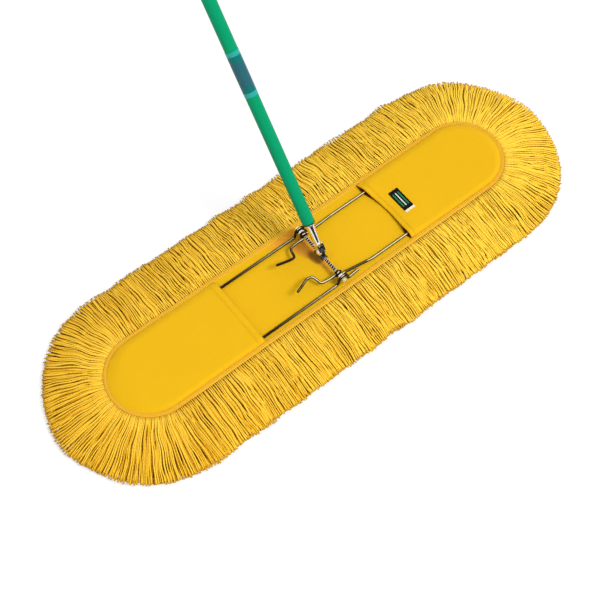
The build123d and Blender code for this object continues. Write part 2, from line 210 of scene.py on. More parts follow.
class StageSettings(bpy.types.PropertyGroup):
    """Floor, light and camera"""

    azimuth: angle_prop("Azimuth", "Way the camera looks, from the head's cross axis", 38.59)
    elevation: angle_prop("Elevation", "How far down the camera looks", 62.70)
    roll: angle_prop("Roll", "Turn of the picture", 0.25)
    distance: length_prop("Distance", "From the camera to the point it looks at", 2.278)
    target: bpy.props.FloatVectorProperty(
        name="Target", description="Point on the floor that the camera looks at", subtype="XYZ",
        default=(-0.0732, -0.0306, 0.0))
    lens: number_prop("Lens", "Focal length on a 36 mm sensor, in millimetres", 74.1)
    floor_colour: colour_prop("Floor", "the floor", 0.95, 0.95, 0.95)
    floor_glow: share_prop("Floor glow", "Share of plain white in the floor as it is seen", 0.55)
    surround: share_prop("Surround", "Brightness low down round the studio, as metal sees it", 0.02)
    fill: number_prop("Fill", "Strength of the even light from all round", 0.66)
    key: number_prop("Key", "Strength of the main light", 2.15)
    key_softness: angle_prop("Key softness", "Angle that the main light fills", 22)


def math_node(operation, turned=False):
    """A method that adds a Math node for a term and other values, or for those values and then the term."""
    def method(self, *others):
        values = (*others, self) if turned else (self, *others)
        return self.finish.node("ShaderNodeMath", {"operation": operation}, dict(enumerate(values)))
    return method


class Term:
    """A number in a material: arithmetic on it adds Math nodes."""

    def __init__(self, finish, socket):
        self.finish, self.socket = finish, socket

    __add__ = __radd__ = math_node("ADD")
    __mul__ = __rmul__ = math_node("MULTIPLY")
    __sub__, __rsub__ = math_node("SUBTRACT"), math_node("SUBTRACT", turned=True)
    __truediv__ = math_node("DIVIDE")
    __gt__, __lt__ = math_node("GREATER_THAN"), math_node("LESS_THAN")
    __abs__, sin = math_node("ABSOLUTE"), math_node("SINE")


class Tree:
    """A node tree, and the method that adds any node to it."""

    def __init__(self, tree):
        self.tree = tree

    def node(self, kind, settings=None, inputs=None, output=0):
        """Adds a node, sets it up, sets or links its inputs, and gives one of its outputs as a term."""
        made = self.tree.nodes.new(kind)
        for name, value in (settings or {}).items():
            setattr(made, name, value)
        for name, value in (inputs or {}).items():
            self.join(made.inputs[name], value)
        return Term(self, made.outputs[output])

    def join(self, socket, value):
        """Links a term to a socket, or sets a number or a colour on it."""
        if isinstance(value, Term):
            self.tree.links.new(value.socket, socket)
        elif socket.type == "RGBA":
            socket.default_value = (*tuple(value)[:3], 1)
        else:
            socket.default_value = value

    def ramp(self, value, low, high, start=0.0, end=1.0):
        """A smooth step of a value from start at low to end at high."""
        return self.node("ShaderNodeMapRange", {"interpolation_type": "SMOOTHSTEP"}, {
            "Value": value, "From Min": low, "From Max": high, "To Min": start, "To Max": end})

    def part(self, vector, axis):
        """One axis of a vector."""
        return self.node("ShaderNodeSeparateXYZ", inputs={0: vector}, output=axis)

    def rays(self):
        """1 for the camera's rays, for glossy and for transmitted ones, else 0."""
        return [self.node("ShaderNodeLightPath", output=f"Is {kind} Ray")
                for kind in ("Camera", "Glossy", "Transmission")]


class Finish(Tree):
    """A material with one Principled shader."""

    def __init__(self, name, **constants):
        self.material = bpy.data.materials.new(name)
        self.material.use_nodes = True
        super().__init__(self.material.node_tree)
        self.shader = self.tree.nodes["Principled BSDF"]
        for socket, value in constants.items():
            self.put(socket.replace("_", " "), value)

    def put(self, socket, value):
        """Sets or links one of the shader's inputs."""
        self.join(self.shader.inputs[socket], value)

    def shaded(self, share, colour, low, high):
        """A base colour from colour x low to colour x high, by share."""
        self.put("Base Color", self.mix(share, tinted(colour, low), tinted(colour, high)))

    def place(self):
        """The surface point in the model's frame, in metres."""
        return self.node("ShaderNodeTexCoord", output="Object")

    def axes(self, vector, count=3):
        """A vector's x, y and z, or the first ones of them."""
        return [self.part(vector, axis) for axis in range(count)]

    def attribute(self, name):
        """A number that the mesh holds for each of its points."""
        return self.node("ShaderNodeAttribute", {"attribute_name": name}, output="Fac")

    def noise(self, vector, scale, detail=2.0, roughness=0.5):
        """Smooth noise, from 0 to 1, with scale waves in a metre."""
        return self.node("ShaderNodeTexNoise", inputs={
            "Vector": vector, "Scale": scale, "Detail": detail, "Roughness": roughness})

    def stretched(self, vector, scale):
        """A point times a scale for each axis."""
        return self.node("ShaderNodeMapping", inputs={"Vector": vector, "Scale": scale})

    def mix(self, share, first, second):
        """A colour between two, by share."""
        return self.node("ShaderNodeMix", {"data_type": "RGBA"}, {0: share, 6: first, 7: second}, output=2)

    def bump(self, height, distance):
        """Fine relief: height x distance."""
        self.put("Normal", self.node("ShaderNodeBump", inputs={"Height": height, "Distance": distance}))


def tinted(colour, factor):
    """A colour times a factor, each channel at most 1."""
    return tuple(min(1.0, channel * factor) for channel in colour[:3])


def woven_height(x, y, pitch):
    """Height of a plain weave: the warp's round back where both waves have one sign, else the weft's."""
    turn = math.pi / pitch
    warp, weft = (x * turn).sin(), (y * turn).sin()
    over = (warp * weft) > 0.0
    return over * abs(warp) + (1 - over) * abs(weft)


def cloth_finish(name, colour, pitch, head=None, crease=None):
    """Woven cotton: thread relief, a little fading in patches and slubs along the threads.

    With the head's settings it is the backing with its painted shadows. With a crease shade colour it is
    tape, with painted shade along both edges where it turns round the ends.
    """
    finish = Finish(name, Sheen_Weight=0.02, Sheen_Roughness=0.5, Specular_IOR_Level=0.05)
    point = finish.place()
    x, y = finish.axes(point, 2)
    patches = finish.noise(point, 14.0, 4.0)
    slubs = finish.noise(finish.stretched(point, (40.0, 900.0, 900.0)), 1.0, 2.0)
    shade = finish.mix(patches * 0.6 + slubs * 0.4, tinted(colour, 0.94), tinted(colour, 1.06))
    # Painted shade along both edges of the tape at the round ends.
    if crease is not None:
        half = STRAIGHT / 2
        round_end = finish.ramp(abs(x - RIGHT_CENTRE + half), half - 60 * MM, half)
        shade = finish.mix(finish.attribute("crease") * round_end, shade, crease)
    # Painted shadows and shade on the backing.
    if head is not None:
        shade = painted_shadows(finish, shade, x, y, patches - 0.5, head)
    finish.put("Base Color", shade)
    finish.put("Roughness", 0.78 + slubs * 0.14)
    finish.bump(woven_height(x, y, pitch) + slubs * 0.5, 0.12 * MM)
    return finish.material


def painted_shadows(finish, shade, x, y, uneven, head):
    """The backing's colour with painted shadows, whose edges are uneven.

    It has a warm brown painted shadow in a slanted strip under the axle and in a spot beside the far arch,
    and a dark painted shadow beside the swivel. It has painted shade inside the right pocket: past its mouth
    + scoop x cos^2 - skew x share of the way to the far side, and from a little before that at the wires.
    """
    # Painted shadow: the warm brown strip under the axle, where the axle's shadow falls.
    slanted = x + finish.ramp(y, -10 * MM, 45 * MM, 0.0, AXLE_SHADOW_SLANT)
    wear_and_shadow = finish.ramp(slanted + uneven * 14 * MM, -13 * MM, -4 * MM, 0.0, 0.85)
    wear_and_shadow = wear_and_shadow * finish.ramp(x, -2 * MM, 9 * MM, 1.0, 0.0)
    wear_and_shadow = wear_and_shadow * finish.ramp(abs(y - AXLE_SHADOW_MIDDLE), AXLE_SHADOW_REACH / 2, AXLE_SHADOW_REACH, 1.0, 0.0)
    shade = finish.mix(wear_and_shadow, shade, head.warm_shadow_colour)
    # Painted shadows: a warm brown spot beside the far arch and a dark one beside the swivel.
    for place, reach, strength, mark in ((ARCH_SHADOW_PLACE, ARCH_SHADOW_REACH, 0.8, head.warm_shadow_colour),
                                         (SWIVEL_SHADOW_PLACE, SWIVEL_SHADOW_REACH, 0.85, head.swivel_shadow_colour)):
        across, along = (x - place[0]) / reach[0], (y - place[1]) / reach[1]
        spot = across * across + along * along + uneven * 0.8
        shade = finish.mix(finish.ramp(spot, 0.2, 1.6, strength, 0.0), shade, mark)
    # Painted shade inside the right pocket's mouth, reaching out a little at the wires.
    far = (y - MIDDLE_Y) / POCKET_EDGE
    arch = (far * (math.pi / 2) + math.pi / 2).sin()
    depth = x - arch * arch * head.mouth_scoop + far * head.mouth_skew - POCKET_RIGHT[0].x
    depth = depth + finish.ramp(abs(abs(y) - WIRE_Y), 2 * MM, 24 * MM, 4 * MM, 0.0)
    return finish.mix(finish.ramp(depth, 0.0, 2 * MM), shade, head.pocket_shade_colour)


def thread_finish(name, colour):
    """Sewing thread: twist lines round it, read from its own map."""
    finish = Finish(name, Specular_IOR_Level=0.3)
    twist = twist_height(finish, 2.0, 3.0)
    finish.shaded(twist, colour, 0.75, 1.08)
    finish.put("Roughness", 0.75 - twist * 0.15)
    finish.bump(twist, 0.08 * MM)
    return finish.material


def twist_height(finish, plies, lay):
    """Height of a twisted cord's plies: round ridges that climb round it, from its map of turn and length."""
    uv = finish.node("ShaderNodeUVMap", {"uv_map": "round"})
    return abs(((finish.part(uv, 0) * plies + finish.part(uv, 1) * lay) * math.pi).sin())


def yarn_finish(yarn):
    """Cotton yarn: each strand has its tone, a painted highlight where it faces up and painted shade on its
    sides and underside, and is darker where it is cut.
    """
    finish = Finish("yarn_cotton", Sheen_Weight=0.03, Sheen_Roughness=0.4, Specular_IOR_Level=0.06)
    tone, along, crest = finish.attribute("tone"), finish.attribute("along"), finish.attribute("crest")
    twist = twist_height(finish, 3.0, 2.0)
    point = finish.place()
    fuzz = finish.noise(point, 700.0, 2.0)
    strand = finish.mix(tone, yarn.dark_colour, yarn.light_colour)
    # Painted highlight where a strand faces up.
    strand = finish.mix(finish.ramp(crest + twist * 0.15, 0.76, 1.05, 0.0, 0.6), strand, yarn.painted_highlight_colour)
    # Painted shade on the strands' sides and undersides, deeper in the lower layers.
    strand_side_shade = finish.ramp(crest + twist * 0.1, 0.0, 0.80, 0.9, 0.0) * (1.56 - tone * 1.05)
    shade = finish.mix(strand_side_shade, strand, tinted(yarn.pile_shade_colour, 0.8))
    cut = finish.ramp(along, 0.965, 0.995)
    finish.put("Base Color", finish.mix(cut, shade, yarn.tip_colour))
    finish.put("Roughness", 0.82 + fuzz * 0.15)
    finish.bump(twist + fuzz * 0.6, 0.30 * MM)
    return finish.material


def metal_finish(name, colour, roughness, smudge=0.12, wire_shade=None, lighter_span=None, climb=None):
    """Plated steel: thin smudges that dull it, and on a wire painted shade and a painted highlight.

    A wire is painted dark on its sides as shade, round a painted highlight along the way it faces. It is
    dark all over before it grows lighter between two places along the head, and between the two places where
    an arm climbs to the axle.
    """
    finish = Finish(name, Metallic=1.0, Specular_IOR_Level=0.08)
    point = finish.place()
    smudges = finish.noise(point, 90.0, 4.0)
    plate = finish.mix(smudges, tinted(colour, 0.9), tinted(colour, 1.1))
    if wire_shade is not None:
        x = finish.part(point, 0)
        # Painted highlight along the way the wire faces, painted shade on its sides.
        lit_band = finish.ramp(finish.attribute("crest") + (smudges - 0.5) * 0.1, 0.86, 0.97)
        lit_band = lit_band * finish.ramp(x, *lighter_span)
        if climb is not None:
            low, high = climb
            dull = finish.ramp(x, low, low + 8 * MM) * finish.ramp(x, high, high - 8 * MM)
            lit_band = lit_band * (1 - dull * 0.9)
        plate = finish.mix(lit_band, wire_shade, plate)
        finish.put("Metallic", lit_band)
    finish.put("Base Color", plate)
    finish.put("Roughness", roughness + (smudges - 0.5) * smudge)
    return finish.material


def moulded_finish(name, colour, roughness, grain_scale=900.0):
    """Moulded plastic or rubber: fine pitted skin, and small changes of gloss and shade."""
    finish = Finish(name, Specular_IOR_Level=0.2)
    point = finish.place()
    skin, patches = finish.noise(point, grain_scale, 2.0), finish.noise(point, 60.0, 3.0)
    finish.shaded(patches, colour, 0.9, 1.12)
    finish.put("Roughness", roughness + (patches - 0.5) * 0.16)
    finish.bump(skin, 0.05 * MM)
    return finish.material


def ring_finish(name, node, sign, handle):
    """A moulded ring of two colours, split at a distance along the handle from the ring's middle."""
    finish = Finish(name, Specular_IOR_Level=0.2, Roughness=0.3)
    low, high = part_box(node)
    place = finish.axes(finish.place())
    along = sum(axis * way for axis, way in zip(place, HANDLE_WAY)) - (low + high).dot(HANDLE_WAY) / 2
    band = (along * sign) > RING_BAND
    finish.put("Base Color", finish.mix(band, handle.ring_colour, handle.band_colour))
    return finish.material


def painted_finish(name, colour):
    """Baked paint on a drawn tube: soft orange peel, faint rubbed patches and scratches along it."""
    finish = Finish(name, Specular_IOR_Level=0.06)
    point = finish.place()
    peel = finish.noise(point, 260.0, 2.0)
    wear_and_shadow = finish.noise(finish.stretched(point, (300.0, 26.0, 26.0)), 1.0, 4.0, 0.6)
    finish.shaded(wear_and_shadow, colour, 0.88, 1.12)
    finish.put("Roughness", 0.28 + wear_and_shadow * 0.2)
    finish.bump(peel, 0.03 * MM)
    return finish.material


def grid_quads(rows, columns, close_rows=False, close_columns=False):
    """Corners of the four-sided faces between the points of a grid, which can close on itself either way."""
    row = np.arange(rows if close_rows else rows - 1)[:, None]
    column = np.arange(columns if close_columns else columns - 1)[None, :]
    here, below, right = row * columns, (row + 1) % rows * columns, (column + 1) % columns
    corners = here + column, here + right, below + right, below + column
    return np.stack(np.broadcast_arrays(*corners), axis=-1).reshape(-1, 4)


def add_piece(name, points, groups, material, uv=None, values=None, sharp=None):
    """A mesh object from points and groups of faces that have the same number of corners."""
    mesh = bpy.data.meshes.new(name)
    mesh.from_pydata(points.tolist(), [], [face for group in groups for face in group.tolist()])
    if mesh.validate():
        raise RuntimeError(f"{name} has faces that can't be used")
    mesh.shade_smooth()
    if sharp is not None:
        mesh.set_sharp_from_angle(angle=sharp)
    if uv is not None:
        mesh.uv_layers.new(name="round").uv.foreach_set("vector", np.asarray(uv, np.float32).ravel())
    for key, numbers in (values or {}).items():
        mesh.attributes.new(key, "FLOAT", "POINT").data.foreach_set("value", np.asarray(numbers, np.float32))
    mesh.materials.append(material)
    piece = bpy.data.objects.new(name, mesh)
    bpy.context.scene.collection.objects.link(piece)
    return piece


def add_cloth(name, x, y, z, material, thickness):
    """A sheet of cloth: its outer face through a grid of points x, y, z, and its thickness under that."""
    points = np.stack([x, y, z], -1).reshape(-1, 3)
    piece = add_piece(name, points, [grid_quads(*x.shape)[:, ::-1]], material)
    wall = piece.modifiers.new("thickness", "SOLIDIFY")
    wall.thickness, wall.offset = thickness, -1
    return piece


def bend_at_fold(piece):
    """Bakes a piece's transform into its mesh."""
    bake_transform(piece)


def dress(node, material):
    """Gives a packed part its finish."""
    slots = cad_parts[node].data.materials
    slots.clear()
    slots.append(material)


def unit(vectors):
    """Each vector / its length."""
    return vectors / np.linalg.norm(vectors, axis=-1, keepdims=True)


def bars(paths, radii, sides, reference=(0.0, 0.0, 1.0)):
    """Round bars along many paths: point = path + radius (side cos a + up sin a), square to the path's way.

    Gives the points, the faces, with an end face on each bar, and their corners' map of turn and length.
    """
    count, stations = paths.shape[:2]
    ahead = unit(np.gradient(paths, axis=1))
    side = unit(np.cross(np.asarray(reference, float), ahead))
    up = np.cross(ahead, side)
    angle = np.arange(sides) * (2 * math.pi / sides)
    around = side[:, :, None] * np.cos(angle)[:, None] + up[:, :, None] * np.sin(angle)[:, None]
    points = paths[:, :, None] + np.broadcast_to(radii, (count, stations))[:, :, None, None] * around
    first = np.arange(count)[:, None, None] * (stations * sides)
    quads = (grid_quads(stations, sides, close_columns=True)[None] + first).reshape(-1, 4)
    ring = np.arange(sides)[None]
    starts = first[:, 0] + ring[:, ::-1]
    ends = first[:, 0] + (stations - 1) * sides + ring
    length = np.cumsum(np.linalg.norm(np.diff(paths, axis=1), axis=2), axis=1)
    length = np.concatenate([np.zeros((count, 1)), length], axis=1)
    turns = length / (2 * math.pi * np.max(radii))
    uv = np.stack(np.broadcast_arrays(np.arange(sides + 1) / sides, turns[..., None]), -1)
    quad_uv = uv.reshape(count, -1, 2)[:, grid_quads(stations, sides + 1)].reshape(-1, 2)
    cap_uv = np.zeros((2 * count * sides, 2))
    return points.reshape(-1, 3), [quads, np.concatenate([starts, ends])], np.concatenate([quad_uv, cap_uv])


def crest(points, paths, sides, way=(0.0, 0.0, 1.0)):
    """How far each point of some bars faces a way: (point - path) . way / its distance from the path."""
    out = points.reshape(-1, sides, 3) - paths.reshape(-1, 1, 3)
    return (unit(out) @ np.asarray(way, float)).ravel()


def round_tipped(path, radius, steps=4):
    """A path's points and radii with a dome at each end: radius x cos a, set back radius x (1 - sin a)."""
    angle = np.linspace(0, math.pi / 2, steps + 1)[1:] - math.pi / 2 / steps * 0.25
    start, end = unit(path[0] - path[1]), unit(path[-1] - path[-2])
    out = (np.sin(angle) * radius)[:, None]
    inner = path[1:-1]
    first, last = path[0] - start * radius, path[-1] - end * radius
    points = np.concatenate([(first + start * out)[::-1], [first], inner, [last], last + end * out])
    dome = np.cos(angle) * radius
    return points, np.concatenate([dome[::-1], np.full(len(inner) + 2, radius), dome])


def bent(points, radii, step=1.0 * MM):
    """A route of straight runs and round bends: a corner's arc touches its runs at radius x tan(turn / 2)."""
    points = np.asarray(points, float)
    pieces = [points[:1]]
    for before, corner, after, radius in zip(points, points[1:], points[2:], radii):
        back, on = unit(before - corner), unit(after - corner)
        turn = math.pi - math.acos(float(np.clip(back @ on, -1, 1)))
        reach = radius * math.tan(turn / 2)
        centre = corner + unit(back + on) * (radius / math.cos(turn / 2))
        square = unit(corner + back * reach - centre)
        angle = np.linspace(0, turn, max(4, math.ceil(radius * turn / step)))[:, None]
        pieces.append(centre + radius * (square * np.cos(angle) - back * np.sin(angle)))
    pieces.append(points[-1:])
    return np.concatenate(pieces)


def rim_place(length, radius):
    """Where a length along the head's rim falls: the point on the head's middle line and the way out from it.

    The rim is twice a straight side and a half circle of radius about the end of the middle line.
    """
    half = STRAIGHT + math.pi * radius
    turned, place = np.divmod(np.mod(length, 2 * half), half)
    angle = (turned - 0.5) * math.pi + np.maximum(place - STRAIGHT, 0) / radius
    along = np.minimum(place, STRAIGHT)
    middle = np.where(turned > 0, RIGHT_CENTRE - along, LEFT_CENTRE + along)
    return middle, np.stack([np.cos(angle), np.sin(angle)], axis=-1)


def rim_length(radius):
    """Two straight sides and a circle."""
    return 2 * STRAIGHT + 2 * math.pi * radius


def past_ends(x):
    """How far x lies past the centres of the head's round ends."""
    return np.maximum(np.maximum(LEFT_CENTRE - x, x - RIGHT_CENTRE), 0)


def rim_ring(profile, step):
    """A closed profile of (distance out, height), outwards along its top, carried round the head's rim."""
    stations = np.arange(0, rim_length(HALF_WIDTH), step)
    middle, out = rim_place(stations, HALF_WIDTH)
    reach, height = profile.T
    x, y = middle[:, None] + out[:, :1] * reach, MIDDLE_Y + out[:, 1:] * reach
    points = np.stack(np.broadcast_arrays(x, y, height), -1).reshape(-1, 3)
    return points, [grid_quads(len(stations), len(profile), True, True)]


def waves(rng, along, down, period, lengths, slopes, amplitude, count=7):
    """Smooth drift of neighbouring strands: a sum of sines of place on the rim and share of the length."""
    total = 0.0
    for _ in range(count):
        number = round(period / rng.uniform(*lengths))
        slope, phase = rng.uniform(*slopes) * rng.choice((-1, 1)), rng.uniform(0, 2 * math.pi)
        total = total + np.sin(2 * math.pi * (number * along / period + slope * down) + phase)
    return total * amplitude / math.sqrt(count / 2)


def head_grid(columns, rows, radius, start=None, end=None, step=4 * MM):
    """Points x, y over the head's plan: x runs along it, y = middle + t x half the width, t from -1 to 1."""
    turn = np.linspace(-END_TURN, 0, columns)
    left = LEFT_CENTRE + radius * np.sin(turn) if start is None else np.array([start])
    right = RIGHT_CENTRE - radius * np.sin(turn[::-1]) if end is None else np.array([end])
    inner = np.linspace(left[-1], right[0], max(2, round((right[0] - left[-1]) / step)))
    x = np.concatenate([left, inner[1:-1], right])
    half = np.sqrt(np.maximum(radius**2 - past_ends(x) ** 2, 0))
    y = MIDDLE_Y + half[:, None] * np.linspace(-1, 1, rows)[None]
    return np.broadcast_to(x[:, None], y.shape), y


def cloth_ripple(x, y, height):
    """A slack cloth's slow waves: three crossed sines."""
    crossed = np.sin(x * 21 + y * 9) * np.sin(y * 34 - x * 5 + 1.0)
    return height * (crossed + 0.5 * np.sin(x * 47 + y * 15 + 2.0))


def mouth_arch(y):
    """1 in the middle of a pocket's mouth, 0 at its sides: cos^2."""
    return np.cos(np.clip((y - MIDDLE_Y) / POCKET_EDGE, -1, 1) * math.pi / 2) ** 2


def pocket_top(x, y, head, opened):
    """Height of a pocket's outer face, which rises from its sewn edge and lies over the wires in it.

    Over the backing it is rise x (1 - (1 - distance in from the edge / reach)^2), with a crown across it and
    slow waves. The reach is short on the near side, close to the wire, longer on the far side and longest at
    the left end. An opened mouth sags in its middle by sag x arch^2 (1 - depth / sag reach)^2, and is held up
    at both wires by flare x exp(-(distance from the wire / flare width)^2) (1 - depth / flare reach)^2.
    """
    past, across = past_ends(x), y - MIDDLE_Y
    from_middle = np.maximum(np.hypot(past, across), MM)
    at_end = np.where(x < 0, LEFT_REACH, RIGHT_REACH) * (past / from_middle) ** 2
    reach = RISE_REACH + FAR_REACH * across / from_middle + at_end
    side = 1 - (1 - np.clip((POCKET_EDGE - from_middle) / reach, 0, 1)) ** 2
    arch, depth = mouth_arch(y), x - POCKET_RIGHT[0].x
    sag = head.mouth_sag * arch**2 * (1 - np.clip(depth / head.sag_reach, 0, 1)) ** 2
    flare = head.mouth_flare * np.exp(-((np.abs(y) - WIRE_Y) / FLARE_WIDTH) ** 2)
    flare = flare * side * (1 - np.clip(depth / FLARE_REACH, 0, 1)) ** 2
    cloth = CANVAS_TOP + 0.3 * MM + head.pocket_rise * side + head.pocket_crown * arch
    return cloth + opened * (flare - sag) + cloth_ripple(x, y, POCKET_RIPPLE)


def drawn_back(x, y, mouth, scoop, skew):
    """A pocket's x with its mouth drawn back.

    It adds (scoop x arch - skew x share of the way to the far side) (1 - depth / scoop reach)^2.
    """
    shift = scoop * mouth_arch(y) - skew * (y - MIDDLE_Y) / POCKET_EDGE
    return x + shift * (1 - np.clip((x - mouth) / SCOOP_REACH, 0, 1)) ** 2


def stitch_row(name, ends, radius, material):
    """A row of stitches: each a short bar between its ends, arched over the cloth and thin at both ends."""
    share = np.array([0.0, 0.2, 0.5, 0.8, 1.0])
    paths = ends[:, :1] + (ends[:, 1:] - ends[:, :1]) * share[None, :, None]
    paths[:, :, 2] += radius * np.array([-0.9, 0.35, 0.6, 0.35, -0.9])
    points, groups, uv = bars(paths, radius * np.array([0.5, 0.95, 1.0, 0.95, 0.5]), 5)
    return add_piece(name, points, groups, material, uv)


def sewn_pairs(line, pitch, share=0.74):
    """Ends of the stitches along a line of points: equal lengths of it, each stitch filling a share."""
    reach = np.concatenate([[0], np.cumsum(np.linalg.norm(np.diff(line, axis=0), axis=1))])
    starts = np.arange(0, reach[-1] - pitch, pitch)
    return np.stack([np.stack([np.interp(starts + gap, reach, line[:, axis]) for axis in range(3)], -1)
                     for gap in (0, pitch * share)], axis=1)


class MOP_OT_stage(bpy.types.Operator):
    """Adds the floor, the lights and the camera at the photograph's viewing angle"""

    bl_idname = "mop.stage"
    bl_label = "Stage"

    sensor_width = 36
    floor_reach = 12.0
    # The main light's place: shares of the ways to the picture's right, to its top and back to the camera.
    key_place = (0.62, 0.18, 0.95)
    # How far up the surround gives way to the backdrop.
    horizon = (0.1, 0.38)

    def execute(self, context):
        stage, scene = context.scene.mop_stage, context.scene
        scene.view_settings.view_transform = "Standard"
        self.add_key(stage, scene, self.add_camera(stage, scene))
        self.add_sky(stage, scene)
        self.add_floor(stage)
        return {"FINISHED"}

    def add_camera(self, stage, scene):
        """The camera. Gives its turn, whose columns are the picture's ways to the right, top and back."""
        level = Euler((math.pi / 2 - stage.elevation, 0, -stage.azimuth)).to_matrix()
        turn = level @ Matrix.Rotation(stage.roll, 3, "Z")
        camera = bpy.data.objects.new("camera", bpy.data.cameras.new("camera"))
        camera.data.lens, camera.data.sensor_width = stage.lens, self.sensor_width
        place = Vector(stage.target) + turn.col[2] * stage.distance
        camera.matrix_world = Matrix.LocRotScale(place, turn, None)
        scene.collection.objects.link(camera)
        scene.camera = camera
        return turn

    def add_key(self, stage, scene, turn):
        """The main light, a soft sun that metal doesn't see."""
        key = bpy.data.objects.new("key_light", bpy.data.lights.new("key_light", "SUN"))
        key.data.energy, key.data.angle = stage.key, stage.key_softness
        key.visible_glossy = False
        key.rotation_mode = "QUATERNION"
        key.rotation_quaternion = (turn @ Vector(self.key_place)).to_track_quat("Z", "Y")
        scene.collection.objects.link(key)

    def add_sky(self, stage, scene):
        """Even light from all round, white to the camera.

        Metal sees the white backdrop overhead and the dim surround of the studio low down.
        """
        world = bpy.data.worlds.new("studio")
        world.use_nodes = True
        scene.world = world
        sky = Tree(world.node_tree)
        camera_ray, glossy, clear = sky.rays()
        up = sky.part(sky.node("ShaderNodeTexCoord", output="Generated"), 2)
        overhead = sky.ramp(up, *self.horizon, stage.surround, 1.0)
        strength = (camera_ray + clear) * (1 - stage.fill) + glossy * (overhead - stage.fill) + stage.fill
        background = sky.tree.nodes["Background"]
        sky.join(background.inputs["Color"], (1, 1, 1))
        sky.join(background.inputs["Strength"], strength)

    def add_floor(self, stage):
        """A flat floor, partly plain white as it is seen, so that it goes over into the backdrop."""
        finish = Finish("studio_floor", Specular_IOR_Level=0.1, Roughness=0.9)
        point = finish.place()
        finish.shaded(finish.noise(point, 3.0), stage.floor_colour, 0.99, 1.01)
        camera_ray, glossy, clear = finish.rays()
        seen = (camera_ray + glossy + clear) * stage.floor_glow
        glow = finish.node("ShaderNodeEmission", inputs={"Color": (1, 1, 1), "Strength": 1.0})
        surface = finish.node("ShaderNodeMixShader", inputs={
            0: seen, 1: Term(finish, finish.shader.outputs[0]), 2: glow})
        finish.join(finish.tree.nodes["Material Output"].inputs["Surface"], surface)
        corners = np.array([(-1, -1, 0), (1, -1, 0), (1, 1, 0), (-1, 1, 0)]) * self.floor_reach
        floor = add_piece("floor", corners, [np.array([[0, 1, 2, 3]])], finish.material)


class MOP_OT_canvas(bpy.types.Operator):
    """Adds the canvas backing, the tape bound round its edge and the tape's stitches"""

    bl_idname = "mop.canvas"
    bl_label = "Canvas and binding"

    # The backing's grid, how far it lies inside its solid's edge and under its top, and its slow waves.
    grid, inset, sink, ripple = (26, 49), 0.4 * MM, 0.3 * MM, 0.35 * MM
    # The tape's section: millimetres out from its inner edge and over the backing, and its painted edge
    # shade.
    tape_inset = 7.6 * MM
    tape_section = np.array((
        (-0.6, -0.5, 1), (-0.3, 0.1, 1), (0.5, 0.6, 0.7), (1.4, 0.9, 0.1), (2.3, 0.78, 0), (3.2, 0.9, 0),
        (4.6, 1.0, 0), (5.4, 0.8, 0), (6.2, 1.0, 0), (7.2, 0.9, 0.1), (8.1, 0.45, 0.8), (8.6, -0.4, 1),
        (8.4, -3.2, 1), (7.4, -3.6, 1), (7.2, -1.0, 0), (3.0, -0.8, 0)))
    tape_step, tape_pitch = 3.5 * MM, 0.7 * MM
    # Its rows of stitches, out from that edge, and their height, pitch, share of the pitch and radius.
    stitch_rows = {"inner": 2.3 * MM, "outer": 5.4 * MM}
    stitch_height, stitch_pitch, stitch_share, stitch_radius = 0.8 * MM, 4.2 * MM, 0.82, 0.55 * MM

    def execute(self, context):
        head = context.scene.mop_head
        self.add_backing(head)
        self.add_binding(head, HALF_WIDTH - self.tape_inset)
        return {"FINISHED"}

    def add_backing(self, head):
        """The backing, flat but for slow waves, a little smaller and thinner than its solid."""
        x, y = head_grid(*self.grid, HALF_WIDTH - self.inset)
        z = CANVAS_TOP + cloth_ripple(x, y, self.ripple) - self.sink
        weave = cloth_finish("canvas_weave", head.canvas_colour, head.thread_pitch, head)
        thickness = head.canvas_thickness - 2 * self.sink
        backing = add_cloth("canvas_backing", x, y, z, weave, thickness)
        bend_at_fold(backing)
        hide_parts("canvas_left", "canvas_right")

    def add_binding(self, head, inner):
        """The tape, its section carried round the rim, and two rows of stitches in its grooves."""
        profile = self.tape_section[:, :2] * MM + (inner, CANVAS_TOP)
        points, groups = rim_ring(profile, self.tape_step)
        crease = np.tile(self.tape_section[:, 2], len(points) // len(profile))
        weave = cloth_finish("binding_weave", head.binding_colour, self.tape_pitch, crease=head.crease_shade_colour)
        tape = add_piece("binding_tape", points, groups, weave, values={"crease": crease})
        bend_at_fold(tape)
        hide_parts("binding_left", "binding_right")
        thread = thread_finish("binding_thread", head.stitch_colour)
        for name, inset in self.stitch_rows.items():
            radius = inner + inset
            stations = np.arange(0, rim_length(radius), 2 * MM)
            middle, out = rim_place(stations, radius)
            line = np.column_stack([middle + out[:, 0] * radius, MIDDLE_Y + out[:, 1] * radius,
                                    np.full(len(stations), CANVAS_TOP + self.stitch_height)])
            ends = sewn_pairs(line, self.stitch_pitch, self.stitch_share)
            row = stitch_row(f"binding_stitches_{name}", ends, self.stitch_radius, thread)
            bend_at_fold(row)


